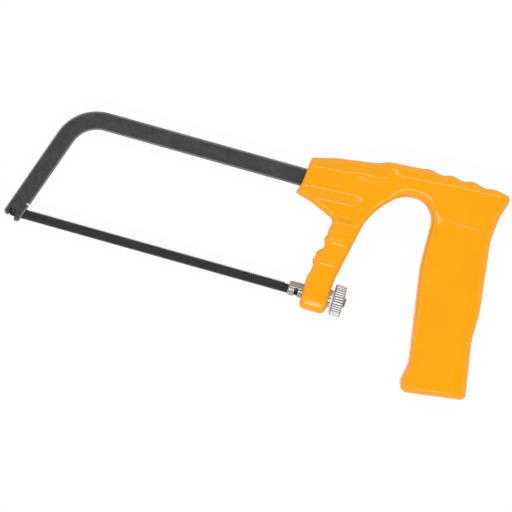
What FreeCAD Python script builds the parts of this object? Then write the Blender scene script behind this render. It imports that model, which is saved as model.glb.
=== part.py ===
import FreeCAD, Part
import math
import os

# Small hacksaw: flat steel bow, pistol grip moulded in two shells, and a blade drawn tight
# by a stud and a knurled knob.  Millimetres.
# Drawing frame: the front blade pin is the zero point, +X runs along the blade to the handle,
# +Y runs from the blade to the bow, and the middle plane of the saw is Z = 0.
# Every sub-part is then moved by (-origin_x, -origin_y, handle_thick / 2), so that the saw
# lies on its right side with the middle of its outline over the origin.

SIZES = [
    ("pin_span", "146.5", "distance between the two blade pins"),
    ("bar_height", "55.35", "blade line to the middle of the bow bar"),
    ("bar_width", "9.2", "width of the flat bow steel"),
    ("bar_thick", "4.8", "thickness of the bow steel"),
    ("bar_edge", "1.0", "rounding of the bow edges"),
    ("bend_inner", "14.2", "inside radius of the front bend"),
    ("arm_lean", "19", "lean of the front arm, degrees"),
    ("bar_tail", "20.5", "bow end behind the rear pin"),
    ("blade_thick", "0.6", "blade thickness"),
    ("blade_depth", "5.2", "blade depth over the tooth tips"),
    ("tooth_pitch", "1.0583", "24 teeth to the inch"),
    ("tooth_height", "0.75", "tooth height"),
    ("tooth_lead", "8.0", "front pin to the first tooth"),
    ("tooth_trail", "6.0", "plain length ahead of the rear pin, at least"),
    ("land_drop", "0.3", "plain upper edge below the tooth tips"),
    ("blade_nose", "2.2", "blade end beyond its pin"),
    ("blade_corner", "1.2", "cut corner of a blade end"),
    ("blade_pin_dia", "1.9", "blade cross pin"),
    ("blade_pin_long", "6.0", "length of a blade cross pin"),
    ("run_fit", "0.05", "radial clearance of a sliding or turning fit"),
    ("press_fit", "0.01", "radial clearance of a pressed or riveted pin"),
    ("slit_fit", "0.1", "clearance on each side of the blade in its slits"),
    ("slit_end_fit", "0.7", "clearance behind the blade end in the stud"),
    ("face_fit", "0.03", "gap on each side of the thrust washer"),
    ("head_fit", "0.3", "radial clearance of a screw head, and depth spare under a screw tip"),
    ("stud_rise", "0.4", "stud axis above the blade line"),
    ("stud_dia", "7.4", "tension stud"),
    ("stud_front", "4.1", "stud face ahead of the rear pin"),
    ("stud_body", "12.0", "shoulder of the stud behind the rear pin"),
    ("stud_tip", "25.5", "threaded end behind the rear pin"),
    ("thread_dia", "5.0", "stud thread"),
    ("thread_pitch", "0.8", "stud thread pitch"),
    ("stud_travel", "1.2", "slack let out by one and a half turns of the knob"),
    ("stud_chamfer", "0.6", "chamfer of the stud face and of the thread tip"),
    ("shoulder_chamfer", "0.5", "chamfer of the stud shoulder"),
    ("key_dia", "2.0", "pin that stops the stud turning"),
    ("key_long", "12.0", "length of that pin"),
    ("key_back", "8.5", "key pin behind the rear pin"),
    ("knob_dia", "16.2", "knurled knob"),
    ("knob_start", "18.7", "front rim of the knob behind the rear pin"),
    ("knob_wide", "5.7", "width of the knurled rim"),
    ("knob_hub_dia", "8.8", "hub ahead of the knob"),
    ("knurl_count", "38", "ridges round the knob"),
    ("knurl_deep", "0.45", "depth of the knurl"),
    ("knob_bevel", "0.8", "bevel of the knob rims"),
    ("dish_deep", "0.5", "dish in the knob's rear face"),
    ("washer_dia", "9.4", "thrust washer"),
    ("washer_thick", "0.9", "thickness of the thrust washer"),
    ("post_back", "16.75", "rear face of the handle post behind the rear pin"),
    ("handle_thick", "25.0", "handle over both shells, at the grip"),
    ("socket_thick", "17.0", "handle over both shells, at the socket and the post"),
    ("shell_edge", "2.4", "rounding of the outer shell edges"),
    ("shell_wall", "3.0", "wall of the shells over the hollows"),
    ("dowel_dia", "4.0", "dowels through the bow"),
    ("dowel_long", "13.0", "length of the dowels"),
    ("screw_dia", "3.0", "handle screws"),
    ("screw_head_dia", "5.6", "head of a handle screw"),
    ("screw_head_tall", "2.0", "height of a screw head"),
    ("screw_seat", "5.0", "screw head seat below the middle plane"),
    ("screw_reach", "6.0", "screw tip above the middle plane"),
    ("boss_dia", "6.6", "screw boss in the left shell"),
    ("head_boss_dia", "9.2", "screw boss in the right shell"),
    ("origin_x", "=(pin_span + 90.86) / 2", "middle of the whole length"),
    ("origin_y", "=(1.3717 * bar_height - 34.03) / 2", "middle of the whole height"),
]

# Foot of the front arm, from the front pin.  The arm's middle line meets the blade line at
# ARM_FOOT_X; the toe and the heel are the heights of its two tips, with a step between them.
ARM_FOOT_X = 0.24
ARM_TOE = -0.9
ARM_HEEL = -4.6
ARM_STEP = [(-3.4, -2.6, 1.2), (0.2, -2.6, 0.4), (0.9, ARM_HEEL, 1.1)]
TOE_ROUNDING = 1.3
HEEL_ROUNDING = 1.1
TAIL_ROUNDING = 1.2
# Slit for the blade: x low, x high, y low, y high.
ARM_SLIT = (-9.0, 12.0, -7.0, 4.6)
# Nick in the arm's inner edge above the slit.
ARM_NICK = [(9.0, 2.9), (9.0, 3.7), (5.2, 5.7), (4.9, 5.1)]

# Tooth form: where the flat tip starts and ends, as shares of the pitch, and the rise before
# the first tooth.
TOOTH_TIP = (0.12, 0.3)
TOOTH_RUN_IN = 0.6

# Thread form: depth, start and end of the valley, as shares of the pitch.
THREAD_DEPTH = 0.55
THREAD_VALLEY = (0.45, 0.55)
THREAD_RUN_OUT = 1.0

# Knurl form: start and end of a ridge's crest, as shares of the knurl's pitch.
KNURL_CREST = (0.4, 0.6)
# Dish in the knob's rear face: radius at its mouth and floor, and rim left outside both.
DISH_INNER = (3.6, 4.1)
DISH_RIM = (2.2, 2.7)

# Handle screws: dome of the head as shares of its height and radius, length and flat of the
# point, and the cross recess (arm length, half width, share of the head's height).
DOME_MIDDLE = (0.78, 0.62)
DOME_EDGE = 0.3
POINT_LONG = 1.2
POINT_FLAT = 0.3
CROSS_ARM = 1.5
CROSS_HALF = 0.35
CROSS_DEEP = 0.6

# Extra length of a cut or a pad past the face it starts from, so that no skin is left.
OVERRUN = 1.0

# Handle outline: x behind the rear pin, y above the blade line, corner radius.
DRAWN_BAR_HEIGHT = 55.35
HANDLE_OUTLINE = [
    (-10.3, 65.9, 0.0),
    (1.5, 69.0, 12.0),
    (22.5, 72.1, 3.0),
    (27.0, 74.1, 6.0),
    (43.0, 75.3, 9.0),
    (49.0, 76.3, 6.0),
    (54.3, 74.6, 6.0),
    (60.0, 76.3, 6.0),
    (65.3, 74.5, 6.0),
    (70.8, 76.1, 6.0),
    (76.5, 74.2, 6.0),
    (82.5, 75.1, 9.0),
    (91.4, 73.3, 2.6),
    (88.0, 62.5, 20.0),
    (86.6, 50.0, 40.0),
    (91.2, 14.0, 40.0),
    (91.0, -1.0, 40.0),
    (96.0, -30.2, 2.6),
    (64.2, -34.6, 2.6),
    (62.0, -29.4, 3.5),
    (64.0, -20.0, 16.0),
    (56.4, 28.0, 60.0),
    (55.9, 60.2, 11.0),
    (37.8, 60.2, 15.5),
    (24.4, 45.6, 32.0),
    (16.7, 8.0, 30.0),
    (16.7, -8.1, 2.8),
    (3.2, -8.1, 2.6),
    (3.2, 8.0, 20.0),
    (4.9, 14.5, 8.0),
    (4.7, 21.5, 2.6),
    (7.6, 24.2, 2.6),
    (7.6, 32.0, 20.0),
    (8.6, 38.8, 3.0),
    (-5.0, 44.6, 20.0),
    (-13.4, 46.8, 0.0),
    (-11.7, 52.5, 14.0),
]
GRIP_HOLLOW = [
    (60.8, 59.0, 3.0),
    (81.5, 59.0, 3.0),
    (82.0, 50.0, 8.0),
    (86.0, 15.0, 8.0),
    (86.0, 0.0, 8.0),
    (89.5, -25.0, 3.0),
    (69.0, -28.5, 3.0),
    (69.0, -18.0, 8.0),
    (61.2, 28.0, 8.0),
]
TOP_HOLLOW = [
    (31.0, 63.4, 2.0),
    (78.0, 63.4, 2.0),
    (78.0, 70.6, 2.0),
    (31.0, 70.6, 2.0),
]
POST_HOLLOW = [
    (6.2, 9.0, 2.0),
    (13.6, 9.0, 2.0),
    (18.6, 36.0, 2.0),
    (10.6, 36.0, 2.0),
]
SIDE_PANEL = [
    (66.9, 45.0, 5.0),
    (80.6, 56.4, 2.0),
    (81.8, 40.0, 6.0),
    (82.0, 31.0, 10.0),
    (84.6, 20.0, 12.0),
    (86.4, -24.0, 6.0),
    (68.6, -26.6, 6.0),
    (66.4, -14.0, 30.0),
    (62.4, 19.0, 8.0),
    (67.6, 30.0, 8.0),
]
SIDE_PANEL_GROOVE = 0.7
SIDE_PANEL_STRETCH = 1.6
SIDE_PANEL_DEPTH = 0.4
# Finger ribs on the post front: lower edge, upper edge, front end x, all as above.
POST_RIBS = [
    (15.6, 18.2, 3.7),
    (27.2, 29.6, 6.4),
]
RIB_RAISED = 0.5
# Grip thickness along the grip at the height y = 20: x behind the rear pin, share of the extra
# thickness the grip has over the socket.
GRIP_LEAN = 8.0
GRIP_LEAN_HEIGHT = 20.0
GRIP_RISE = (24.0, 62.5)
GRIP_FALL = (83.5, 96.0)
GRIP_REAR_SHARE = 0.15

# Screws: x behind the rear pin, y above the blade line, which thickness they sit in.
HANDLE_SCREWS = [
    (4.0, 64.2, "socket"),
    (13.5, 44.2, "socket"),
    (43.5, 67.0, "socket"),
    (79.0, 66.0, "socket"),
    (12.2, 20.0, "socket"),
    (73.5, 27.0, "grip"),
    (78.5, -20.0, "grip"),
]
BOW_DOWELS = (-2.5, 12.0)

doc = FreeCAD.newDocument("hacksaw")
sheet = doc.addObject("Spreadsheet::Sheet", "sizes")


def fill_sheet():
    for row, (alias, value, note) in enumerate(SIZES, start=1):
        sheet.set("A%d" % row, note)
        sheet.set("B%d" % row, value)
        sheet.setAlias("B%d" % row, alias)
    doc.recompute()


def size(alias):
    return float(sheet.get(alias))


def on_handle(rows):
    """Handle points in the drawing frame; heights above the blade follow the bar height."""
    stretch = size("bar_height") / DRAWN_BAR_HEIGHT
    points = []
    for x, y, radius in rows:
        points.append((size("pin_span") + x, y * stretch if y > 0 else y, radius))
    return points


def rounded(points):
    """Closed outline of straight lines and tangent arcs from (x, y, corner radius)."""
    corners = []
    count = len(points)
    for index, (x, y, radius) in enumerate(points):
        here = FreeCAD.Vector(x, y, 0)
        before = FreeCAD.Vector(points[index - 1][0], points[index - 1][1], 0)
        after = FreeCAD.Vector(points[(index + 1) % count][0], points[(index + 1) % count][1], 0)
        back = (before - here).normalize()
        ahead = (after - here).normalize()
        half = back.getAngle(ahead) / 2
        reach = radius / math.tan(half)
        inward = (back + ahead).normalize() * (radius / math.sin(half) - radius)
        corners.append((here + back * reach, here + inward, here + ahead * reach))
    pieces = []
    for index, (start, middle, end) in enumerate(corners):
        following = corners[(index + 1) % count][0]
        if start.distanceToPoint(end) > 1e-6:
            pieces.append(Part.Arc(start, middle, end))
        if end.distanceToPoint(following) > 1e-6:
            pieces.append(Part.LineSegment(end, following))
    return pieces


def straight(points):
    """Closed outline of straight lines from (x, y)."""
    return rounded([(x, y, 0.0) for x, y in points])


def rectangle(x_low, x_high, y_low, y_high):
    return straight([(x_low, y_low), (x_high, y_low), (x_high, y_high), (x_low, y_high)])


def circle(x, y, radius):
    return [Part.Circle(FreeCAD.Vector(x, y, 0), FreeCAD.Vector(0, 0, 1), radius)]


def place(item, x="0", y="0", z="0"):
    """Ties an object's position to the sheet, in the frame the saw is handed over in."""
    item.setExpression("Placement.Base.x", "%s - sizes.origin_x" % x)
    item.setExpression("Placement.Base.y", "%s - sizes.origin_y" % y)
    item.setExpression("Placement.Base.z", "%s + sizes.handle_thick / 2" % z)


def new_body(label, x="0", y="0", z="0"):
    body = doc.addObject("PartDesign::Body", label)
    body.Label = label
    place(body, x, y, z)
    return body


def sketch_on(body, role, pieces, offset=None):
    plane = [item for item in body.Origin.OriginFeatures if item.Role == role][0]
    sketch = body.newObject("Sketcher::SketchObject", body.Label + "_sketch")
    sketch.AttachmentSupport = (plane, [""])
    sketch.MapMode = "FlatFace"
    if offset is not None:
        sketch.AttachmentOffset = offset
    sketch.addGeometry(pieces, False)
    return sketch


def lifted(x=0.0, y=0.0, z=0.0):
    return FreeCAD.Placement(FreeCAD.Vector(x, y, z), FreeCAD.Rotation())


def extrude(body, kind, sketch, length, both_ways=False, turned=False):
    """Pad or Pocket with its length tied to the sheet."""
    feature = body.newObject("PartDesign::" + kind, body.Label + "_" + kind.lower())
    feature.Profile = sketch
    feature.setExpression("Length", length)
    if both_ways:
        feature.SideType = "Symmetric"
    feature.Reversed = turned
    doc.recompute()
    return feature


def revolve(body, kind, sketch):
    """Full turn of a sketch about its own horizontal axis."""
    feature = body.newObject("PartDesign::" + kind, body.Label + "_" + kind.lower())
    feature.Profile = sketch
    feature.ReferenceAxis = (sketch, ["H_Axis"])
    feature.Angle = 360
    doc.recompute()
    return feature


def round_edges(body, base, edges, radius):
    feature = body.newObject("PartDesign::Fillet", body.Label + "_rounding")
    feature.Base = (base, edges)
    feature.setExpression("Radius", radius)
    doc.recompute()
    return feature


def bow_outline():
    """Front arm, bend and bar of the bow in one strip of even width."""
    half = size("bar_width") / 2
    lean = math.radians(size("arm_lean"))
    outer_foot = ARM_FOOT_X - half / math.cos(lean)
    inner_foot = ARM_FOOT_X + half / math.cos(lean)
    top = size("bar_height") + half
    under = size("bar_height") - half
    bar_end = size("pin_span") + size("bar_tail")
    slope = math.tan(lean)
    return [
        (bar_end, top, TAIL_ROUNDING),
        (outer_foot + top * slope, top, size("bend_inner") + size("bar_width")),
        (outer_foot + ARM_TOE * slope, ARM_TOE, TOE_ROUNDING),
        *ARM_STEP,
        (inner_foot + ARM_HEEL * slope, ARM_HEEL, HEEL_ROUNDING),
        (inner_foot + under * slope, under, size("bend_inner")),
        (bar_end, under, TAIL_ROUNDING),
    ]


def build_frame_bow():
    body = new_body("frame_bow")
    outline = sketch_on(body, "XY_Plane", rounded(bow_outline()))
    strip = extrude(body, "Pad", outline, "sizes.bar_thick", both_ways=True)
    face_height = size("bar_thick") / 2
    edges = []
    for number, edge in enumerate(strip.Shape.Edges, start=1):
        if abs(abs(edge.BoundBox.ZMin) - face_height) < 1e-4 and edge.BoundBox.ZLength < 1e-4:
            edges.append("Edge%d" % number)
    round_edges(body, strip, edges, "sizes.bar_edge")
    slit = sketch_on(body, "XY_Plane", rectangle(*ARM_SLIT))
    extrude(body, "Pocket", slit, "sizes.blade_thick + 2 * sizes.slit_fit", both_ways=True)
    seat = size("blade_pin_dia") / 2 + size("run_fit")
    notch_low = ARM_SLIT[2]
    notch = sketch_on(
        body, "XY_Plane", rectangle(-size("stud_travel") - seat, seat, notch_low, seat)
    )
    extrude(body, "Pocket", notch, "2 * sizes.bar_thick", both_ways=True)
    nick = sketch_on(body, "XY_Plane", straight(ARM_NICK))
    extrude(body, "Pocket", nick, "2 * sizes.bar_thick", both_ways=True)
    holes = []
    for behind in BOW_DOWELS:
        hole_radius = size("dowel_dia") / 2 + size("press_fit")
        holes += circle(size("pin_span") + behind, size("bar_height"), hole_radius)
    extrude(body, "Pocket", sketch_on(body, "XY_Plane", holes), "2 * sizes.bar_thick", True)
    return body


def tooth_points():
    """Upper edge of the blade from the last tooth to the run-in of the first one."""
    tip = size("blade_depth") / 2
    root = tip - size("tooth_height")
    pitch = size("tooth_pitch")
    lead = size("tooth_lead")
    count = int((size("pin_span") - lead - size("tooth_trail")) / pitch)
    tip_start, tip_end = TOOTH_TIP
    points = []
    for index in reversed(range(count)):
        start = lead + index * pitch
        points.append((start + pitch, root))
        points.append((start + tip_end * pitch, tip))
        points.append((start + tip_start * pitch, tip))
    points.append((lead, root))
    points.append((lead - TOOTH_RUN_IN, tip - size("land_drop")))
    return points


def build_saw_blade():
    body = new_body("saw_blade")
    half = size("blade_depth") / 2
    land = half - size("land_drop")
    corner = size("blade_corner")
    front = -size("blade_nose")
    rear = size("pin_span") + size("blade_nose")
    points = [(front, land - corner), (front, corner - half), (front + corner, -half)]
    points += [(rear - corner, -half), (rear, corner - half)]
    points += [(rear, land - corner), (rear - corner, land)]
    points += tooth_points()
    points.append((front + corner, land))
    hole_radius = size("blade_pin_dia") / 2 + size("press_fit")
    pieces = straight(points)
    pieces += circle(0.0, 0.0, hole_radius)
    pieces += circle(size("pin_span"), 0.0, hole_radius)
    extrude(body, "Pad", sketch_on(body, "XY_Plane", pieces), "sizes.blade_thick", both_ways=True)
    return body


def build_cross_pin(label, x, y, diameter, length):
    """Plain pin across the saw, centred on the middle plane."""
    pin = doc.addObject("Part::Cylinder", label)
    pin.Label = label
    pin.setExpression("Radius", diameter + " / 2")
    pin.setExpression("Height", length)
    place(pin, x, y, "-%s / 2" % length)
    return pin


def stud_points():
    """Half section of the stud: plain body, shoulder and a row of thread grooves."""
    front = size("pin_span") - size("stud_front")
    shoulder = size("pin_span") + size("stud_body")
    tip = size("pin_span") + size("stud_tip")
    radius = size("stud_dia") / 2
    chamfer = size("stud_chamfer")
    step = size("shoulder_chamfer")
    crest = size("thread_dia") / 2
    pitch = size("thread_pitch")
    root = crest - THREAD_DEPTH * pitch
    points = [(front, 0.0), (front, radius - chamfer), (front + chamfer, radius)]
    points += [(shoulder - step, radius), (shoulder, radius - step), (shoulder, crest)]
    turns = int((tip - shoulder - THREAD_RUN_OUT) / pitch)
    thread_start = tip - chamfer - turns * pitch
    valley_start, valley_end = THREAD_VALLEY
    for index in range(turns):
        start = thread_start + index * pitch
        points.append((start, crest))
        points.append((start + valley_start * pitch, root))
        points.append((start + valley_end * pitch, root))
    points += [(tip - chamfer, crest), (tip, root), (tip, 0.0)]
    return points


def build_tension_stud():
    body = new_body("tension_stud", y="sizes.stud_rise")
    revolve(body, "Revolution", sketch_on(body, "XY_Plane", straight(stud_points())))
    middle = size("pin_span")
    front = middle - size("stud_front") - 2 * OVERRUN
    blade_end = middle + size("blade_nose") + size("slit_end_fit")
    reach = size("stud_dia") / 2 + OVERRUN
    slit = sketch_on(body, "XY_Plane", rectangle(front, blade_end, -reach, reach))
    extrude(body, "Pocket", slit, "sizes.blade_thick + 2 * sizes.slit_fit", both_ways=True)
    seat = size("blade_pin_dia") / 2 + size("run_fit")
    notch_top = seat - size("stud_rise")
    notch = sketch_on(body, "XY_Plane", rectangle(middle - seat, middle + seat, -reach, notch_top))
    extrude(body, "Pocket", notch, "2 * sizes.stud_dia", both_ways=True)
    key_radius = size("key_dia") / 2 + size("press_fit")
    key = sketch_on(body, "XY_Plane", circle(middle + size("key_back"), 0.0, key_radius))
    extrude(body, "Pocket", key, "2 * sizes.stud_dia", both_ways=True)
    return body


def build_thrust_washer():
    middle = "sizes.pin_span + sizes.post_back + sizes.face_fit"
    disc = doc.addObject("Part::Cylinder", "washer_disc")
    disc.setExpression("Radius", "sizes.washer_dia / 2")
    disc.setExpression("Height", "sizes.washer_thick")
    hole = doc.addObject("Part::Cylinder", "washer_hole")
    hole.setExpression("Radius", "sizes.thread_dia / 2 + 2 * sizes.run_fit")
    hole.setExpression("Height", "sizes.washer_thick")
    washer = doc.addObject("Part::Cut", "thrust_washer")
    washer.Label = "thrust_washer"
    washer.Base = disc
    washer.Tool = hole
    washer.Placement.Rotation = FreeCAD.Rotation(FreeCAD.Vector(0, 1, 0), 90)
    place(washer, middle, "sizes.stud_rise")
    return washer


def knurl_points(rim, valley, count):
    """Outline of the knurled rim: one ridge with a flat crest for each step of the knurl."""
    points = []
    for index in range(count):
        for share, radius in ((0.0, valley), (KNURL_CREST[0], rim), (KNURL_CREST[1], rim)):
            angle = 2 * math.pi * (index + share) / count
            points.append((radius * math.cos(angle), radius * math.sin(angle)))
    return points


def build_tension_knob():
    body = new_body("tension_knob", y="sizes.stud_rise")
    start = size("pin_span") + size("knob_start")
    end = start + size("knob_wide")
    rim = size("knob_dia") / 2
    knurl = knurl_points(rim, rim - size("knurl_deep"), int(size("knurl_count")))
    disc = sketch_on(body, "YZ_Plane", straight(knurl), lifted(z=start))
    extrude(body, "Pad", disc, "sizes.knob_wide")
    hub_circle = circle(0, 0, size("knob_hub_dia") / 2)
    hub = sketch_on(body, "YZ_Plane", hub_circle, lifted(z=start + OVERRUN))
    washer_end = "(sizes.post_back + sizes.washer_thick + 2 * sizes.face_fit)"
    hub_length = "%.1f + sizes.knob_start - %s" % (OVERRUN, washer_end)
    extrude(body, "Pad", hub, hub_length, turned=True)
    bevel = size("knob_bevel")
    outside = rim + 0.1 * OVERRUN
    for edge, inward in ((start, 1), (end, -1)):
        corner = [(edge, rim - bevel), (edge + inward * bevel, outside), (edge, outside)]
        revolve(body, "Groove", sketch_on(body, "XY_Plane", straight(corner)))
    floor = end - size("dish_deep")
    dish = [(end, DISH_INNER[0]), (end, rim - DISH_RIM[0])]
    dish += [(floor, rim - DISH_RIM[1]), (floor, DISH_INNER[1])]
    revolve(body, "Groove", sketch_on(body, "XY_Plane", straight(dish)))
    bore = size("thread_dia") / 2 + size("run_fit")
    low, high = start - 4 * OVERRUN, end + OVERRUN
    through = [(low, 0.0), (low, bore), (high, bore), (high, 0.0)]
    revolve(body, "Groove", sketch_on(body, "XY_Plane", straight(through)))
    return body


def thickness_profile(side):
    """Waste outside the side face, seen along the grip: x, height above the middle plane."""
    low = size("socket_thick") / 2
    extra = size("handle_thick") / 2 - low
    rear = low + GRIP_REAR_SHARE * extra
    middle = GRIP_LEAN_HEIGHT * math.tan(math.radians(GRIP_LEAN))
    behind = size("pin_span") + middle
    waste_front = size("pin_span") - 60
    waste_rear = behind + 130
    waste_top = low + extra + 20
    return [
        (waste_front, side * low, 0.0),
        (behind + GRIP_RISE[0], side * low, 12.0),
        (behind + GRIP_RISE[1], side * (low + extra), 8.0),
        (behind + GRIP_FALL[0], side * (low + extra), 10.0),
        (behind + GRIP_FALL[1], side * rear, 0.0),
        (waste_rear, side * rear, 0.0),
        (waste_rear, side * waste_top, 0.0),
        (waste_front, side * waste_top, 0.0),
    ]


def outer_edges(shape, side):
    """Edges between the outline wall and the side face, away from the parting plane."""
    edges = []
    mouth = size("pin_span") + HANDLE_OUTLINE[0][0] + 0.1
    for number, edge in enumerate(shape.Edges, start=1):
        faces = shape.ancestorsOfType(edge, Part.Face)
        upright = 0
        for face in faces:
            u_low, u_high, v_low, v_high = face.ParameterRange
            normal = face.normalAt((u_low + u_high) / 2, (v_low + v_high) / 2)
            upright += abs(normal.z) < 1e-3
        clear = min(side * vertex.Z for vertex in edge.Vertexes) > 1.0
        at_mouth = edge.BoundBox.XMax < mouth
        if upright == 1 and clear and not at_mouth:
            edges.append("Edge%d" % number)
    return edges


def screw_points(zone=None):
    rows = [(x, y, 0.0) for x, y, where in HANDLE_SCREWS if zone in (None, where)]
    return [(x, y) for x, y, unused in on_handle(rows)]


def circles(points, radius):
    pieces = []
    for x, y in points:
        pieces += circle(x, y, radius)
    return pieces


def build_handle_shell(label, side):
    """Half of the handle; side is +1 for the left shell (above) and -1 for the right."""
    body = new_body(label)
    up = side > 0
    block = sketch_on(body, "XY_Plane", rounded(on_handle(HANDLE_OUTLINE)))
    extrude(body, "Pad", block, "sizes.handle_thick / 2", turned=not up)
    lean = FreeCAD.Placement(
        FreeCAD.Vector(0, 0, 0), FreeCAD.Rotation(FreeCAD.Vector(0, 1, 0), GRIP_LEAN)
    )
    waste = sketch_on(body, "XZ_Plane", rounded(thickness_profile(side)), lean)
    carved = extrude(body, "Pocket", waste, "3 * sizes.bar_height + 200", both_ways=True)
    round_edges(body, carved, outer_edges(carved.Shape, side), "sizes.shell_edge")
    raise_ribs(body, up)
    hollow_out(body, up)
    add_bosses(body, up)
    cut_seats(body, up)
    drill_screw_holes(body, up)
    cut_panel_groove(body, up)
    return body


def raise_ribs(body, up):
    """Finger ribs that stand proud of the post on its front and side."""
    rear = size("post_back") - size("shell_wall")
    pieces = []
    for low, high, front in POST_RIBS:
        corners = [(front, low, 1.0), (rear, low, 1.0), (rear, high, 1.0), (front, high, 1.0)]
        pieces += rounded(on_handle(corners))
    height = "sizes.socket_thick / 2 + %.2f" % RIB_RAISED
    extrude(body, "Pad", sketch_on(body, "XY_Plane", pieces), height, turned=not up)


def hollow_out(body, up):
    """Hollows behind the side walls, open to the parting plane."""
    shallow = sketch_on(
        body, "XY_Plane", rounded(on_handle(TOP_HOLLOW)) + rounded(on_handle(POST_HOLLOW))
    )
    extrude(body, "Pocket", shallow, "sizes.socket_thick / 2 - sizes.shell_wall", turned=up)
    deep = sketch_on(body, "XY_Plane", rounded(on_handle(GRIP_HOLLOW)))
    extrude(body, "Pocket", deep, "sizes.handle_thick / 2 - sizes.shell_wall", turned=up)


def add_bosses(body, up):
    """Screw bosses from the parting plane to the wall behind each hollow."""
    radius = size("boss_dia" if up else "head_boss_dia") / 2
    for zone in ("socket", "grip"):
        thick = "sizes.socket_thick" if zone == "socket" else "sizes.handle_thick"
        bosses = sketch_on(body, "XY_Plane", circles(screw_points(zone), radius))
        length = "%s / 2 - sizes.shell_wall + %.2f" % (thick, OVERRUN / 2)
        extrude(body, "Pad", bosses, length, turned=not up)


def cut_seats(body, up):
    """Seats for the bow tail, its dowels, the stud, the stud thread and the key pin."""
    pin = size("pin_span")
    fit = size("run_fit")
    half = size("bar_width") / 2 + fit
    height = size("bar_height")
    tail = pin + size("bar_tail") + fit
    channel = sketch_on(
        body, "XY_Plane", rectangle(pin - 30, tail, height - half, height + half)
    )
    extrude(body, "Pocket", channel, "sizes.bar_thick / 2 + sizes.run_fit", turned=up)
    dowels = [(pin + behind, height) for behind in BOW_DOWELS]
    radius = size("dowel_dia") / 2 + size("press_fit")
    holes = sketch_on(body, "XY_Plane", circles(dowels, radius))
    extrude(body, "Pocket", holes, "sizes.dowel_long / 2 + sizes.run_fit", turned=up)
    rise = size("stud_rise")
    radius = size("stud_dia") / 2 + fit
    shoulder = pin + size("stud_body") + OVERRUN
    thread = size("thread_dia") / 2 + 2 * fit
    end = pin + size("post_back") + OVERRUN
    start = pin - 2 * OVERRUN
    bore = [(start, 0.0), (start, radius), (shoulder, radius), (shoulder, thread)]
    bore += [(end, thread), (end, 0.0)]
    revolve(body, "Groove", sketch_on(body, "XY_Plane", straight(bore), lifted(y=rise)))
    key = size("key_dia") / 2 + fit
    key_x = pin + size("key_back")
    slot = sketch_on(
        body,
        "XY_Plane",
        rectangle(key_x - size("stud_travel") - key, key_x + key, rise - key, rise + key),
    )
    extrude(body, "Pocket", slot, "sizes.key_long / 2 + sizes.run_fit", turned=up)


def drill_screw_holes(body, up):
    """Blind holes in the left shell; through holes and head recesses in the right."""
    if up:
        radius = size("screw_dia") / 2 + size("press_fit")
        holes = sketch_on(body, "XY_Plane", circles(screw_points(), radius))
        extrude(body, "Pocket", holes, "sizes.screw_reach + sizes.head_fit", turned=True)
        return
    radius = size("screw_dia") / 2 + 2 * size("run_fit")
    holes = sketch_on(body, "XY_Plane", circles(screw_points(), radius))
    extrude(body, "Pocket", holes, "sizes.handle_thick")
    radius = size("screw_head_dia") / 2 + size("head_fit")
    seat = lifted(z=-size("screw_seat"))
    recesses = sketch_on(body, "XY_Plane", circles(screw_points(), radius), seat)
    extrude(body, "Pocket", recesses, "sizes.handle_thick")


def cut_panel_groove(body, up):
    """Fine line round the raised side panel of the grip."""
    outer = on_handle(SIDE_PANEL)
    middle_x = sum(x for x, y, radius in outer) / len(outer)
    middle_y = sum(y for x, y, radius in outer) / len(outer)
    reach = max(abs(y - middle_y) for x, y, radius in outer)
    wide = max(abs(x - middle_x) for x, y, radius in outer)
    inner = []
    for x, y, radius in outer:
        step_x = SIDE_PANEL_STRETCH * SIDE_PANEL_GROOVE * (x - middle_x) / wide
        step_y = SIDE_PANEL_GROOVE * (y - middle_y) / reach
        inner.append((x - step_x, y - step_y, radius))
    floor = size("handle_thick") / 2 - SIDE_PANEL_DEPTH
    start = lifted(z=floor if up else -floor)
    ring = sketch_on(body, "XY_Plane", rounded(outer) + rounded(inner), start)
    extrude(body, "Pocket", ring, "2 * sizes.shell_wall", turned=up)


def cross_points():
    """Outline of the cross recess in a screw head."""
    arm, half = CROSS_ARM, CROSS_HALF
    points = []
    for along, across in ((0, -1), (1, 0), (0, 1), (-1, 0)):
        tip = (along * arm, across * arm)
        side = (-across * half, along * half)
        points.append((tip[0] - side[0], tip[1] - side[1]))
        points.append((tip[0] + side[0], tip[1] + side[1]))
        points.append((side[0] + along * half, side[1] + across * half))
    return points


def build_screw(number, x, y):
    """Pan head screw entering from the right side, tip up."""
    label = "handle_screw_%d" % number
    body = doc.addObject("PartDesign::Body", label)
    body.Label = label
    seat = -size("screw_seat")
    head = size("screw_head_dia") / 2
    tall = size("screw_head_tall")
    shank = size("screw_dia") / 2
    reach = size("screw_reach")
    top = seat - tall
    dome_end = seat - DOME_EDGE * tall
    dome = Part.Arc(
        FreeCAD.Vector(top, 0, 0),
        FreeCAD.Vector(seat - DOME_MIDDLE[0] * tall, DOME_MIDDLE[1] * head, 0),
        FreeCAD.Vector(dome_end, head, 0),
    )
    corners = [(dome_end, head), (seat, head), (seat, shank), (reach - POINT_LONG, shank)]
    corners += [(reach, POINT_FLAT), (reach, 0.0), (top, 0.0)]
    pieces = [dome]
    for (x_low, y_low), (x_high, y_high) in zip(corners, corners[1:]):
        start = FreeCAD.Vector(x_low, y_low, 0)
        pieces.append(Part.LineSegment(start, FreeCAD.Vector(x_high, y_high, 0)))
    revolve(body, "Revolution", sketch_on(body, "XY_Plane", pieces))
    above = OVERRUN / 2
    recess = sketch_on(body, "YZ_Plane", straight(cross_points()), lifted(z=top - above))
    depth = "%.2f + %.2f * sizes.screw_head_tall" % (above, CROSS_DEEP)
    extrude(body, "Pocket", recess, depth, turned=True)
    body.Placement.Rotation = FreeCAD.Rotation(FreeCAD.Vector(0, 1, 0), -90)
    place(body, "%.4f" % x, "%.4f" % y)
    return body


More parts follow.
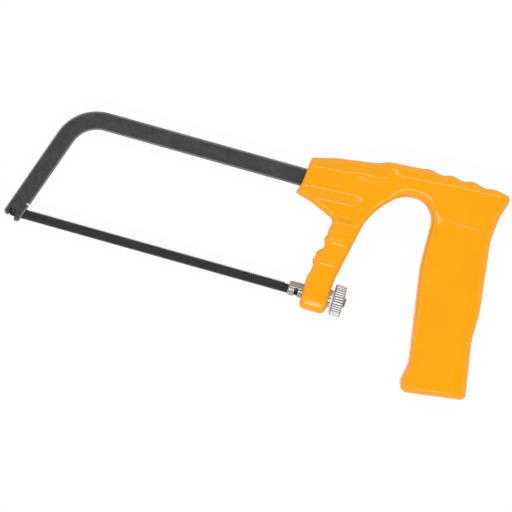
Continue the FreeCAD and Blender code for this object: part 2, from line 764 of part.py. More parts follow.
def build_all():
    """Every sub-part of the saw, in the order it is put together."""
    nodes = [build_handle_shell("handle_shell_left", 1)]
    nodes.append(build_handle_shell("handle_shell_right", -1))
    for number, (x, y) in enumerate(screw_points(), start=1):
        nodes.append(build_screw(number, x, y))
    nodes.append(build_frame_bow())
    for label, behind in zip(("bow_dowel_front", "bow_dowel_rear"), BOW_DOWELS):
        x = "sizes.pin_span + %.2f" % behind
        nodes.append(
            build_cross_pin(label, x, "sizes.bar_height", "sizes.dowel_dia", "sizes.dowel_long")
        )
    nodes.append(build_saw_blade())
    for label, x in (("blade_pin_front", "0"), ("blade_pin_rear", "sizes.pin_span")):
        nodes.append(
            build_cross_pin(label, x, "0", "sizes.blade_pin_dia", "sizes.blade_pin_long")
        )
    nodes.append(build_tension_stud())
    key_x = "sizes.pin_span + sizes.key_back"
    nodes.append(
        build_cross_pin("stud_key_pin", key_x, "sizes.stud_rise", "sizes.key_dia", "sizes.key_long")
    )
    nodes.append(build_thrust_washer())
    nodes.append(build_tension_knob())
    doc.recompute()
    return nodes


def check_and_export(nodes):
    """Refuses a document with a failed feature, then writes one file for each sub-part."""
    for item in doc.Objects:
        if "Invalid" in item.State or "Error" in item.State:
            raise RuntimeError("failed feature: " + item.Label)
    for node in nodes:
        if node.Shape.isNull() or not node.Shape.isValid() or len(node.Shape.Solids) != 1:
            raise RuntimeError("bad shape: " + node.Label)
    os.makedirs("parts", exist_ok=True)
    for node in nodes:
        node.Shape.exportStep("parts/%s.step" % node.Label)
        print("%-20s %10.2f mm3" % (node.Label, node.Shape.Volume))


fill_sheet()
check_and_export(build_all())
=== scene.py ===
import math

import bmesh
import bpy
import numpy as np
from mathutils import Matrix, Vector
from mathutils.geometry import delaunay_2d_cdt


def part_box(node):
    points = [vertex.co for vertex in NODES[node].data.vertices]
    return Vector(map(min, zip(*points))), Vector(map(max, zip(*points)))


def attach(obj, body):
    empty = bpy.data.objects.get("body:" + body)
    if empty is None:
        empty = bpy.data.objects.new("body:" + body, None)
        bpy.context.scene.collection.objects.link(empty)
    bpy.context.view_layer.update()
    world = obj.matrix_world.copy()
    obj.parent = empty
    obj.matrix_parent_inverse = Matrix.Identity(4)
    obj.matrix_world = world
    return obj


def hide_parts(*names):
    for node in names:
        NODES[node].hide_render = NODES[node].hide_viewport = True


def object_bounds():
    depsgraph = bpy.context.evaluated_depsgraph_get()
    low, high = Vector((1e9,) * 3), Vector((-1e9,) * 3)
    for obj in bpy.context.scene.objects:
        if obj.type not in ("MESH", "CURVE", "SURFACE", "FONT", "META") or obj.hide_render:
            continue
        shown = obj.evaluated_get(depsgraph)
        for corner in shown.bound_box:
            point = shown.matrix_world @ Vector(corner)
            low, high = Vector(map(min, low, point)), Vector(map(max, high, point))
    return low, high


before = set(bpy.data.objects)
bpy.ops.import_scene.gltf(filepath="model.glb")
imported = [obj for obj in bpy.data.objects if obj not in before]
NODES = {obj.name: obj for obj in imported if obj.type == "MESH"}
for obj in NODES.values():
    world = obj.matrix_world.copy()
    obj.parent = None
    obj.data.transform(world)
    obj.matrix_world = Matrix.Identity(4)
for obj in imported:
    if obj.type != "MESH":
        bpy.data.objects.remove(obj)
CAD_BOUNDS = [list(corner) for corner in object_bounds()]
MM = 0.001

# Saw coordinates, in millimetres: the front blade pin is the zero point, x runs along the blade
# to the handle, y runs up to the bow bar, and z is the height over the middle plane.
PIN_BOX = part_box("blade_pin_front")
SAW_ZERO = (PIN_BOX[0] + PIN_BOX[1]) / 2
REAR_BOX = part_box("blade_pin_rear")
PIN_SPAN = (REAR_BOX[0].x + REAR_BOX[1].x - PIN_BOX[0].x - PIN_BOX[1].x) / 2 / MM
BOW_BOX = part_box("frame_bow")
STUD_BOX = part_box("tension_stud")
KEY_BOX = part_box("stud_key_pin")
KNOB_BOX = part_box("tension_knob")
BLADE_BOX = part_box("saw_blade")
SHELL_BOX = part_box("handle_shell_left")


def place(x, y, z=0.0):
    """Scene position of a point in saw coordinates."""
    return SAW_ZERO + Vector((x, y, z)) * MM


def saw_box(corners):
    """Lowest and highest corner of a box in saw coordinates."""
    return tuple((corner - SAW_ZERO) / MM for corner in corners)


# Half thickness of the grip, and of the socket and post, which are thinner.
GRIP_HALF = (SHELL_BOX[1].z - SAW_ZERO.z) / MM
SOCKET_HALF = GRIP_HALF - 4.0
BOW_LOW, BOW_HIGH = saw_box(BOW_BOX)
STUD_LOW, STUD_HIGH = saw_box(STUD_BOX)
KEY_LOW, KEY_HIGH = saw_box(KEY_BOX)
STUD_AXIS = (STUD_LOW.y + STUD_HIGH.y) / 2
STUD_RADIUS = (STUD_HIGH.y - STUD_LOW.y) / 2


# ---------------------------------------------------------------- handle outline

# Height at which the CAD shell is cut for its outline (mm), and the cut's tolerances (m).
SECTION_HEIGHT = 4.5
MERGE_DISTANCE = 1e-7
CUT_DISTANCE = 1e-8


def section_loops(node, height):
    """Closed loops of (x, y) where a CAD node is cut at a height over the middle plane."""
    cut = bmesh.new()
    cut.from_mesh(NODES[node].data)
    bmesh.ops.remove_doubles(cut, verts=cut.verts, dist=MERGE_DISTANCE)
    everything = cut.verts[:] + cut.edges[:] + cut.faces[:]
    made = bmesh.ops.bisect_plane(
        cut, geom=everything, plane_co=place(0, 0, height), plane_no=(0, 0, 1), dist=CUT_DISTANCE
    )
    edges = [item for item in made["geom_cut"] if isinstance(item, bmesh.types.BMEdge)]
    links = {}
    for edge in edges:
        for vert in edge.verts:
            links.setdefault(vert, []).append(edge)
    loops = []
    unused = set(edges)
    while unused:
        edge = unused.pop()
        first, vert = edge.verts
        loop = [first]
        while vert is not first:
            loop.append(vert)
            onward = [item for item in links[vert] if item in unused]
            if not onward:
                break
            edge = onward[0]
            unused.discard(edge)
            vert = edge.other_vert(vert)
        loops.append([((v.co.x - SAW_ZERO.x) / MM, (v.co.y - SAW_ZERO.y) / MM) for v in loop])
    cut.free()
    return loops


def signed_area(loop):
    """Area of a closed loop, positive where it runs anticlockwise."""
    points = np.asarray(loop)
    after = np.roll(points, -1, axis=0)
    return 0.5 * float(np.sum(points[:, 0] * after[:, 1] - after[:, 0] * points[:, 1]))


def resample(loop, step):
    """Same closed loop with evenly spaced points."""
    points = np.asarray(loop + loop[:1])
    lengths = np.hypot(*np.diff(points, axis=0).T)
    reached = np.concatenate([[0.0], np.cumsum(lengths)])
    count = int(reached[-1] / step)
    wanted = np.arange(count) * reached[-1] / count
    return np.stack([np.interp(wanted, reached, points[:, i]) for i in (0, 1)], axis=1)


# Front of the finger post from its bend down to the stud, as (x behind the rear pin, y) in mm.
# Each finger rib flares out to a tip and steps back under it.
POST_FRONT = [
    (8.3, 36.4), (7.5, 34.6), (7.5, 32.5), (7.7, 30.9), (6.5, 28.9), (6.4, 28.2), (7.3, 27.0),
    (7.6, 25.3), (7.3, 23.6), (5.6, 22.6), (4.6, 21.4), (4.5, 20.0), (4.7, 18.9), (3.7, 17.2),
    (3.7, 16.5), (4.4, 15.5), (4.8, 13.8), (4.3, 11.5), (3.7, 9.0),
]
POST_FRONT_REACH = 10.5
OUTLINE_STEP = 0.55
OUTLINE_SMOOTHING = 2


def with_post_ribs(loop):
    """Outline whose post front is the ribbed one."""
    top, bottom = POST_FRONT[0][1], POST_FRONT[-1][1]
    kept = [(x, y) for x, y in loop if not (x < PIN_SPAN + POST_FRONT_REACH and bottom < y < top)]
    gaps = [
        (abs(kept[i][1] - kept[i - 1][1]) if kept[i][0] < PIN_SPAN + POST_FRONT_REACH else 0, i)
        for i in range(len(kept))
    ]
    at = max(gaps)[1]
    ribs = [(PIN_SPAN + x, y) for x, y in POST_FRONT]
    if kept[at][1] > kept[at - 1][1]:
        ribs.reverse()
    return kept[:at] + ribs + kept[at:]


def smooth_loop(points, passes):
    """Closed loop whose points are drawn towards their neighbours, once for each pass."""
    for _ in range(passes):
        points = 0.5 * points + 0.25 * (np.roll(points, 1, axis=0) + np.roll(points, -1, axis=0))
    return points


def handle_outline():
    """Anticlockwise outline of the handle, which starts at its foremost point in every run."""
    loops = section_loops("handle_shell_left", SECTION_HEIGHT)
    outer = max(loops, key=lambda loop: abs(signed_area(loop)))
    if signed_area(outer) < 0:
        outer.reverse()
    start = outer.index(min(outer))
    outer = outer[start:] + outer[:start]
    return smooth_loop(resample(with_post_ribs(outer), OUTLINE_STEP), OUTLINE_SMOOTHING)


def inward_normals(points):
    """Unit vectors from each point of an anticlockwise loop towards its inside."""
    tangent = np.roll(points, -1, axis=0) - np.roll(points, 1, axis=0)
    tangent /= np.linalg.norm(tangent, axis=1)[:, None]
    return np.stack([-tangent[:, 1], tangent[:, 0]], axis=1)


def distance_to(points, loop, batch=2000):
    """Distance of each point from a closed loop, worked out a batch at a time to save memory."""
    run = np.roll(loop, -1, axis=0) - loop
    square = np.sum(run * run, axis=1)
    found = np.empty(len(points))
    for low in range(0, len(points), batch):
        part = points[low:low + batch, None, :] - loop[None]
        share = np.clip(np.sum(part * run[None], axis=2) / square[None], 0, 1)
        gap = part - share[:, :, None] * run[None]
        found[low:low + batch] = np.sqrt(np.min(np.sum(gap * gap, axis=2), axis=1))
    return found


def inside(points, loop):
    """True for each point that lies inside a closed loop."""
    after = np.roll(loop, -1, axis=0)
    result = np.zeros(len(points), dtype=bool)
    for (x0, y0), (x1, y1) in zip(loop, after):
        if y0 == y1:
            continue
        crosses = (points[:, 1] < y0) != (points[:, 1] < y1)
        result ^= crosses & (points[:, 0] < x0 + (points[:, 1] - y0) * (x1 - x0) / (y1 - y0))
    return result


# ---------------------------------------------------------------- handle side form

def ramp(value, low, high):
    """Zero up to low and one from high on, with a smooth rise between them."""
    share = np.clip((value - low) / (high - low), 0, 1)
    return share * share * (3 - 2 * share)


def window(value, rise, fall):
    """One between two spans: it rises over the span rise and falls over the span fall."""
    return ramp(value, *rise) * (1 - ramp(value, *fall))


def beyond(value, blur):
    """Zero below zero and value above it, with a rounded corner of width blur."""
    return 0.5 * (value + np.sqrt(value * value + blur * blur)) - 0.5 * blur * np.exp(
        -np.abs(value) / (3 * blur)
    )


# All sizes of the side form are in mm. "Behind" means behind the rear pin.
# Front and rear edges of the grip panel, as (y, behind).
PANEL_FRONT = [
    (-40, 71.0), (-26, 69.2), (-14, 66.6), (10, 63.4), (19, 61.6), (25, 64.2), (30, 66.4),
    (40, 66.4), (56, 65.5), (62, 66.5), (80, 66.5),
]
PANEL_REAR = [
    (-40, 90.6), (-24, 88.6), (0, 86.0), (14, 85.6), (21, 84.8), (26, 82.4), (34, 81.8),
    (50, 80.6), (57, 81.0), (64, 84.0), (80, 86.0),
]
# Lower edge of the sloping facet along the top, and upper edge of the one under the socket,
# as (behind, y).
TOP_FACET = [
    (-11, 61.8), (3.5, 63.0), (13.5, 64.0), (27.5, 65.0), (33.0, 68.6), (53.5, 70.4),
    (63.5, 71.4), (95, 71.6),
]
UNDER_FACET = [(-13, 51.7), (3.5, 52.8), (18.5, 53.6), (30, 54.0)]

# Slope of each facet, as height lost for each mm past its edge, and the most that it may lose.
PANEL_FRONT_SLOPE = 0.20
PANEL_REAR_SLOPE, PANEL_REAR_DROP = 0.30, 3.6
TOP_SLOPE = 0.36
UNDER_SLOPE, UNDER_DROP = 0.42, 2.3
FOOT_SLOPE, FOOT_TOP = 0.165, -2.4
PANEL_BLUR = 0.5
FACET_BLUR = 0.4

# Where the side thins from the grip to the socket, which is sooner high up.
TAPER_END = 64.0
TAPER_START, TAPER_START_SHIFT = 18.0, 12.0

# Finger ridges on the post: y of the tip, how far the ridge reaches above it, and its height.
POST_RIDGES = [(34.2, 2.6, 0.22), (28.2, 3.2, 0.34), (22.6, 1.6, 0.18), (16.8, 3.4, 0.34)]
RIDGE_UNDERCUT = 0.9

COLLAR_DEPTH = 0.35
EDGE_RADIUS = 3.0
ARCH_EXTRA_RADIUS = 1.6
# Lowest and highest end of the fine grooves along the grip panel, their depth and half width.
PANEL_REACH = (-24.0, 56.0)
PANEL_GROOVE = 0.30
GROOVE_HALF = 0.5


def along(table, value):
    """Value of a line that a table gives by its corners."""
    keys = [row[0] for row in table]
    return np.interp(value, keys, [row[1] for row in table])


def ridge(y, tip, above, height):
    """Shingle that rises slowly down to its tip and falls away just under it."""
    rising = np.clip((tip + above - y) / above, 0, 1) ** 1.5
    falling = ramp(y, tip - RIDGE_UNDERCUT, tip)
    return height * rising * falling


def taper(behind, y):
    """Height that the side loses from the thick grip forward to the thin socket."""
    start = TAPER_START - TAPER_START_SHIFT * ramp(y, 58, 70)
    thinner = np.clip((TAPER_END - behind) / (TAPER_END - start), 0, 1)
    return (GRIP_HALF - SOCKET_HALF) * (0.4 * thinner + 0.6 * thinner * thinner)


def panel_facets(behind, y):
    """Height lost in front of the grip panel and behind it."""
    front = PANEL_FRONT_SLOPE * beyond(along(PANEL_FRONT, y) - behind, PANEL_BLUR)
    front = front * (1 - ramp(y, 48, 58)) * ramp(behind, 40, 54)
    rear = PANEL_REAR_SLOPE * beyond(behind - along(PANEL_REAR, y), PANEL_BLUR)
    return front + np.minimum(rear, PANEL_REAR_DROP)


def top_facet(behind, y):
    """Height lost along the top, which is almost flat for a short way over the arch."""
    fade = 1 - 0.75 * window(behind, (25, 30), (31, 36))
    slope = TOP_SLOPE * beyond(y - along(TOP_FACET, behind), FACET_BLUR)
    return fade * slope * (1 - ramp(behind, 66, 80))


def under_facet(behind, y):
    """Height lost under the socket."""
    slope = UNDER_SLOPE * beyond(along(UNDER_FACET, behind) - y, FACET_BLUR)
    return np.minimum(slope, UNDER_DROP) * (1 - ramp(behind, 14, 24)) * ramp(y, 38.6, 41.0)


def post_ridges(behind, y):
    """Height that the finger ridges add to the side of the post."""
    post = (1 - ramp(behind, 19, 23)) * window(y, (9, 12), (37, 39))
    return post * sum(ridge(y, *shape) for shape in POST_RIDGES)


def collar(behind, y):
    """Depth of the shallow collar round the upper grip."""
    return COLLAR_DEPTH * window(behind, (63, 68), (79, 83)) * (1 - ramp(y, 52, 54.5)) * ramp(y, 10, 42)


def foot(behind, y):
    """Height lost towards the lower end of the post."""
    return FOOT_SLOPE * (1 - ramp(behind, 18, 20)) * beyond(FOOT_TOP - y, PANEL_BLUR)


def panel_grooves(behind, y):
    """Depth of the fine grooves along the front and the rear of the grip panel."""
    low, high = PANEL_REACH
    reach = window(y, (low, low + 6), (high - 8, high))
    depth = 0.0
    for table in (PANEL_FRONT, PANEL_REAR):
        depth = depth + np.exp(-((behind - along(table, y)) / GROOVE_HALF) ** 2)
    return reach * PANEL_GROOVE * depth


def side_height(x, y, gap):
    """Height of the handle's side over the middle plane; gap is the distance to the outline."""
    behind = x - PIN_SPAN
    height = GRIP_HALF - taper(behind, y) - panel_facets(behind, y)
    height = height - top_facet(behind, y) - under_facet(behind, y) + post_ridges(behind, y)
    height = height - collar(behind, y) - foot(behind, y) - panel_grooves(behind, y)
    arch = window(y, (56, 60), (66, 68)) * window(behind, (30, 40), (56, 60))
    radius = EDGE_RADIUS + ARCH_EXTRA_RADIUS * arch
    inset = np.clip(radius - gap, 0, None)
    return height - radius + np.sqrt(np.clip(radius * radius - inset * inset, 0, None))


# ---------------------------------------------------------------- handle shells

# Depths of the rings of points that follow the outline, and the spacing of the grid inside them.
RING_DEPTHS = (0.06, 0.22, 0.48, 0.85, 1.3, 1.85, 2.5, 3.2)
FULL_RING_DEPTH = 1.0
GRID_STEP = 0.8
GRID_MARGIN = 0.45
SEAM_DEPTH = 0.28
# Extra lines of points on each side of a panel groove, and the band that the grid leaves free.
GROOVE_OFFSETS = (-1.2, -0.8, -0.4, 0.0, 0.4, 0.8, 1.2)
GROOVE_STEP = 0.6
GROOVE_BAND = 1.5
GROOVE_END = 0.4
GROOVE_MARGIN = 0.3


def ring_points(outline):
    """Rings of points that follow the outline, with half as many on the deeper ones."""
    normals = inward_normals(outline)
    rings = []
    for depth in RING_DEPTHS:
        ring = outline + normals * depth
        keep = inside(ring, outline) & (distance_to(ring, outline) > 0.93 * depth)
        step = 1 if depth < FULL_RING_DEPTH else 2
        rings.append(ring[::step][keep[::step]])
    return rings


def grid_points(outline):
    """Even grid of points in staggered rows, inside the rings."""
    low = outline.min(axis=0)
    high = outline.max(axis=0)
    rows = []
    row_step = GRID_STEP * math.sqrt(3) / 2
    for index, y in enumerate(np.arange(low[1], high[1], row_step)):
        xs = np.arange(low[0] + (index % 2) * GRID_STEP / 2, high[0], GRID_STEP)
        rows.append(np.stack([xs, np.full(len(xs), y)], axis=1))
    grid = np.concatenate(rows)
    grid = grid[inside(grid, outline)]
    return grid[distance_to(grid, outline) > RING_DEPTHS[-1] + GRID_MARGIN]


def shell_points(outline):
    """Points of the side face: rings, fine lines along the panel grooves, then the grid."""
    points = ring_points(outline)
    grid = grid_points(outline)
    low, high = PANEL_REACH
    heights = np.arange(low, high, GROOVE_STEP)
    for table in (PANEL_FRONT, PANEL_REAR):
        off_line = grid[:, 0] - PIN_SPAN - along(table, grid[:, 1])
        outside = (grid[:, 1] < low - GROOVE_END) | (grid[:, 1] > high + GROOVE_END)
        grid = grid[outside | (np.abs(off_line) > GROOVE_BAND)]
        for offset in GROOVE_OFFSETS:
            line = np.stack([PIN_SPAN + along(table, heights) + offset, heights], axis=1)
            points.append(line[distance_to(line, outline) > RING_DEPTHS[-1] + GROOVE_MARGIN])
    points.append(grid)
    return np.concatenate(points)


def triangulated(outline, extra):
    """Points and triangles over the outline, with extra points inside it."""
    flat = [Vector(point) for point in np.concatenate([outline, extra])]
    count = len(outline)
    edges = [(i, (i + 1) % count) for i in range(count)]
    made = delaunay_2d_cdt(flat, edges, [], 1, 1e-6)
    return np.array([tuple(point) for point in made[0]]), made[2]


def shell_mesh(name, side):
    """Half of the handle as a closed mesh, with a fine bevel along its parting line."""
    outline = handle_outline()
    verts, faces = triangulated(outline, shell_points(outline))
    gap = distance_to(verts, outline)
    rim = gap < 1e-4
    gap[rim] = 0.0
    top = side_height(verts[:, 0], verts[:, 1], gap)
    made = bmesh.new()
    upper = [made.verts.new(place(x, y, side * z)) for (x, y), z in zip(verts, top)]
    for face in faces:
        made.faces.new([upper[i] for i in face])
    order = nearest_order(outline, verts, np.flatnonzero(rim))
    normals = inward_normals(outline)
    wall = [made.verts.new(place(x, y, side * SEAM_DEPTH)) for x, y in outline]
    bevelled = outline + normals * SEAM_DEPTH
    seam = [made.verts.new(place(x, y, 0.0)) for x, y in bevelled]
    count = len(outline)
    for i in range(count):
        j = (i + 1) % count
        made.faces.new((upper[order[j]], upper[order[i]], wall[i], wall[j]))
        made.faces.new((wall[j], wall[i], seam[i], seam[j]))
    base, base_faces = triangulated(bevelled, np.empty((0, 2)))
    base_order = nearest_order(base, bevelled, np.arange(count))
    for face in base_faces:
        made.faces.new([seam[base_order[i]] for i in face])
    bmesh.ops.recalc_face_normals(made, faces=made.faces)
    mesh = bpy.data.meshes.new(name)
    made.to_mesh(mesh)
    made.free()
    piece = bpy.data.objects.new(name, mesh)
    bpy.context.scene.collection.objects.link(piece)
    return piece


def nearest_order(wanted, verts, candidates):
    """For each wanted point, the index of the candidate vertex at its place."""
    keys = {}
    for index in candidates:
        keys[(round(verts[index][0], 4), round(verts[index][1], 4))] = int(index)
    order = []
    for x, y in wanted:
        key = (round(x, 4), round(y, 4))
        if key not in keys:
            gaps = np.hypot(verts[candidates][:, 0] - x, verts[candidates][:, 1] - y)
            keys[key] = int(candidates[int(np.argmin(gaps))])
        order.append(keys[key])
    return order


def cutter_box(low, high):
    """Box between two corners in saw coordinates."""
    made = bmesh.new()
    bmesh.ops.create_cube(made, size=1.0)
    size = Vector(high) - Vector(low)
    middle = (Vector(high) + Vector(low)) / 2
    for vert in made.verts:
        vert.co = place(*(middle + Vector(a * b for a, b in zip(vert.co, size))))
    return made


def cutter_cylinder(start, end, radius, sides=64):
    """Cylinder between two points in saw coordinates."""
    made = bmesh.new()
    axis = Vector(end) - Vector(start)
    bmesh.ops.create_cone(
        made, cap_ends=True, segments=sides, radius1=radius, radius2=radius, depth=axis.length
    )
    turn = axis.to_track_quat("Z", "Y").to_matrix().to_4x4()
    middle = (Vector(start) + Vector(end)) / 2
    for vert in made.verts:
        vert.co = place(*(Matrix.Translation(middle) @ turn @ vert.co))
    return made


def subtract(piece, cutter_mesh):
    """Cut a shape out of a piece for good."""
    mesh = bpy.data.meshes.new("cutter")
    cutter_mesh.to_mesh(mesh)
    cutter_mesh.free()
    cutter = bpy.data.objects.new("cutter", mesh)
    bpy.context.scene.collection.objects.link(cutter)
    modifier = piece.modifiers.new("cut", "BOOLEAN")
    modifier.operation = "DIFFERENCE"
    modifier.solver = "EXACT"
    modifier.object = cutter
    graph = bpy.context.evaluated_depsgraph_get()
    result = bpy.data.meshes.new_from_object(piece.evaluated_get(graph))
    piece.modifiers.clear()
    old = piece.data
    piece.data = result
    bpy.data.meshes.remove(old)
    bpy.data.objects.remove(cutter)
    bpy.data.meshes.remove(mesh)


# Room round the pieces that sit in the handle (mm).
SEAT_FIT = 0.06
BOW_STEEL_WIDTH = 9.2
BOW_SEAT_START = -30
STUD_SEAT_START = -2
STUD_PLAIN_LENGTH = 17.2
THREAD_ROOM = 2.62
THREAD_REACH = (8, 19)
KEY_TRAVEL = 1.3


def cut_seats(piece):
    """Room for the bow's tail, the stud with its key pin, and the thread."""
    fit = SEAT_FIT
    top = BOW_HIGH.y + fit
    low = top - BOW_STEEL_WIDTH - 2 * fit
    half = (BOW_HIGH.z - BOW_LOW.z) / 2 + fit
    bow_start = (PIN_SPAN + BOW_SEAT_START, low, -half)
    subtract(piece, cutter_box(bow_start, (BOW_HIGH.x + fit, top, half)))
    stud_start = (PIN_SPAN + STUD_SEAT_START, STUD_AXIS, 0)
    shoulder = (STUD_LOW.x + STUD_PLAIN_LENGTH, STUD_AXIS, 0)
    subtract(piece, cutter_cylinder(stud_start, shoulder, STUD_RADIUS + fit))
    thread_start, thread_end = ((PIN_SPAN + x, STUD_AXIS, 0) for x in THREAD_REACH)
    subtract(piece, cutter_cylinder(thread_start, thread_end, THREAD_ROOM))
    slot_low = (KEY_LOW.x - KEY_TRAVEL, KEY_LOW.y - fit, KEY_LOW.z - fit)
    slot_high = (KEY_HIGH.x + fit, KEY_HIGH.y + fit, KEY_HIGH.z + fit)
    subtract(piece, cutter_box(slot_low, slot_high))


# Holes for the handle screws (mm): each starts well outside the handle and ends past the
# middle plane, with a wider part for the head.
SCREWS = ["handle_screw_%d" % number for number in range(1, 8)]
HOLE_START = -20
HEAD_HEIGHT, HEAD_FIT, HEAD_SIDES = 2.0, 0.3, 40
SHANK_END, SHANK_ROOM, SHANK_SIDES = 1, 1.62, 32


def cut_screw_holes(piece):
    for screw in SCREWS:
        low, high = saw_box(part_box(screw))
        x, y = (low.x + high.x) / 2, (low.y + high.y) / 2
        start = (x, y, HOLE_START)
        seat = (x, y, low.z + HEAD_HEIGHT)
        head_room = (high.x - low.x) / 2 + HEAD_FIT
        subtract(piece, cutter_cylinder(start, seat, head_room, HEAD_SIDES))
        subtract(piece, cutter_cylinder(start, (x, y, SHANK_END), SHANK_ROOM, SHANK_SIDES))


SHARP_ANGLE = math.radians(40)


def add_shell(name, side, node):
    """One half of the handle; side is 1 for the left half and -1 for the right one."""
    piece = shell_mesh(name, side)
    cut_seats(piece)
    if side < 0:
        cut_screw_holes(piece)
    piece.data.shade_smooth()
    piece.data.materials.clear()
    piece.data.materials.append(orange_plastic)
    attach(piece, "saw")
    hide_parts(node)
    sharp = piece.modifiers.new("sharp edges", "EDGE_SPLIT")
    sharp.split_angle = SHARP_ANGLE


# ---------------------------------------------------------------- materials

class Nodes:
    """Small helper that builds one node tree."""

    def __init__(self, name):
        self.material = bpy.data.materials.new(name)
        self.material.use_nodes = True
        self.tree = self.material.node_tree
        self.shader = self.tree.nodes["Principled BSDF"]
        coordinates = self.add("ShaderNodeTexCoord")
        self.place = coordinates.outputs["Object"]
        self.facing = coordinates.outputs["Normal"]

    def add(self, kind, **values):
        node = self.tree.nodes.new(kind)
        for key, value in values.items():
            setattr(node, key, value)
        return node

    def link(self, source, target):
        self.tree.links.new(source, target)

    def noise(self, scale, detail=3.0, stretch=None, rough=0.5):
        node = self.add("ShaderNodeTexNoise")
        node.inputs["Scale"].default_value = scale
        node.inputs["Detail"].default_value = detail
        node.inputs["Roughness"].default_value = rough
        source = self.place
        if stretch is not None:
            mapping = self.add("ShaderNodeMapping")
            mapping.inputs["Scale"].default_value = stretch
            self.link(self.place, mapping.inputs["Vector"])
            source = mapping.outputs["Vector"]
        self.link(source, node.inputs["Vector"])
        return node.outputs["Fac"]

    def steps(self, value, low, high, out_low=0.0, out_high=1.0):
        """Value carried over from the span low to high onto the span out_low to out_high."""
        node = self.add("ShaderNodeMapRange")
        node.inputs["From Min"].default_value = low
        node.inputs["From Max"].default_value = high
        node.inputs["To Min"].default_value = out_low
        node.inputs["To Max"].default_value = out_high
        self.link(value, node.inputs["Value"])
        return node.outputs["Result"]

    def mix(self, fac, first, second):
        node = self.add("ShaderNodeMix", data_type="RGBA")
        self.link(fac, node.inputs["Factor"])
        for source, target in ((first, node.inputs[6]), (second, node.inputs[7])):
            if isinstance(source, tuple):
                target.default_value = source
            else:
                self.link(source, target)
        return node.outputs[2]

    def bump(self, height, distance, strength=1.0, below=None):
        node = self.add("ShaderNodeBump")
        node.inputs["Distance"].default_value = distance
        node.inputs["Strength"].default_value = strength
        self.link(height, node.inputs["Height"])
        if below is not None:
            self.link(below, node.inputs["Normal"])
        return node.outputs["Normal"]

    def axis(self, name, source=None):
        """One coordinate, or one part of another vector."""
        split = self.add("ShaderNodeSeparateXYZ")
        self.link(source or self.place, split.inputs[0])
        return split.outputs[name]

    def calculate(self, operation, first, second):
        """Result of one Math node; each input is a number or another node's output."""
        node = self.add("ShaderNodeMath", operation=operation)
        for source, target in zip((first, second), node.inputs):
            if isinstance(source, float):
                target.default_value = source
            else:
                self.link(source, target)
        return node.outputs[0]

    def edges(self):
        """One on outer corners of the surface and zero on flat ground."""
        return self.steps(self.add("ShaderNodeNewGeometry").outputs["Pointiness"], 0.52, 0.60)


def make_orange_plastic():
    """Glossy moulded plastic, with faint clouds of colour, a painted highlight that lightens its outer
    edges, and gently uneven ground.
    """
    n = Nodes("orange_plastic")
    cloud = n.noise(55.0, 4.0)
    tint = n.mix(n.steps(cloud, 0.35, 0.65), (0.925, 0.364, 0.0006, 1), (0.950, 0.380, 0.0010, 1))
    # Painted highlight: outer edges (by pointiness) are mixed towards a lighter orange.
    colour = n.mix(n.steps(n.edges(), 0, 1, 0, 0.35), tint, (0.98, 0.41, 0.008, 1))
    n.link(colour, n.shader.inputs["Base Color"])
    n.link(n.steps(n.noise(300.0, 5.0), 0.3, 0.7, 0.15, 0.21), n.shader.inputs["Roughness"])
    grain = n.bump(n.noise(2600.0, 2.0), 0.00002, 0.4)
    n.link(n.bump(n.noise(120.0, 2.0), 0.0002, 0.3, grain), n.shader.inputs["Normal"])
    n.shader.inputs["Specular IOR Level"].default_value = 0.4
    return n.material


def make_black_bow():
    """Black paint with orange peel and faint random wear; the steel's long corners are lightened to
    grey as a painted highlight.
    """
    n = Nodes("black_bow_paint")
    cloud = n.steps(n.noise(90.0, 5.0), 0.3, 0.7)
    tint = n.mix(cloud, (0.030, 0.030, 0.030, 1), (0.040, 0.040, 0.039, 1))
    worn = n.steps(n.noise(700.0, 6.0), 0.55, 0.75, 0, 0.5)
    tint = n.mix(worn, tint, (0.055, 0.055, 0.054, 1))
    # Painted highlight: where the normal turns away from the flat faces, along the long corners, the
    # colour is lightened to grey.
    upright = n.calculate("ABSOLUTE", n.axis("Z", n.facing), 0.0)
    corner = n.calculate("MULTIPLY", n.steps(upright, 0.998, 0.95), n.steps(upright, 0.1, 0.3))
    painted_corner_highlight = n.mix(corner, tint, (0.16, 0.16, 0.162, 1))
    n.link(painted_corner_highlight, n.shader.inputs["Base Color"])
    n.link(n.steps(n.noise(420.0, 4.0), 0.3, 0.7, 0.30, 0.46), n.shader.inputs["Roughness"])
    peel = n.bump(n.noise(1500.0, 2.0), 0.00004, 0.6)
    n.link(peel, n.shader.inputs["Normal"])
    return n.material


def make_dark_blade():
    """Dark rolled steel, with teeth that are ground bright."""
    n = Nodes("dark_blade_steel")
    streak = n.noise(40.0, 6.0, (1.0, 40.0, 40.0), 0.6)
    tint = n.mix(n.steps(streak, 0.3, 0.7), (0.014, 0.014, 0.0135, 1), (0.026, 0.026, 0.025, 1))
    low_edge = BLADE_BOX[0].y
    ground = n.steps(n.axis("Y"), low_edge + 0.7 * MM, low_edge + 0.3 * MM)
    n.link(n.mix(ground, tint, (0.13, 0.13, 0.13, 1)), n.shader.inputs["Base Color"])
    n.shader.inputs["Metallic"].default_value = 0.35
    n.link(n.steps(streak, 0.3, 0.7, 0.32, 0.5), n.shader.inputs["Roughness"])
    n.link(n.bump(streak, 0.00002, 0.5), n.shader.inputs["Normal"])
    return n.material


def make_plated(name, colour, roughness, metallic=1.0):
    """Plated steel with fine streaks along the saw."""
    n = Nodes(name)
    streak = n.noise(200.0, 4.0, (1.0, 30.0, 30.0))
    dark = tuple(0.8 * part for part in colour[:3]) + (1,)
    n.link(n.mix(n.steps(streak, 0.3, 0.7), dark, colour), n.shader.inputs["Base Color"])
    n.shader.inputs["Metallic"].default_value = metallic
    low, high = roughness
    n.link(n.steps(n.noise(900.0, 3.0), 0.3, 0.7, low, high), n.shader.inputs["Roughness"])
    n.link(n.bump(streak, 0.00001, 0.5), n.shader.inputs["Normal"])
    return n.material


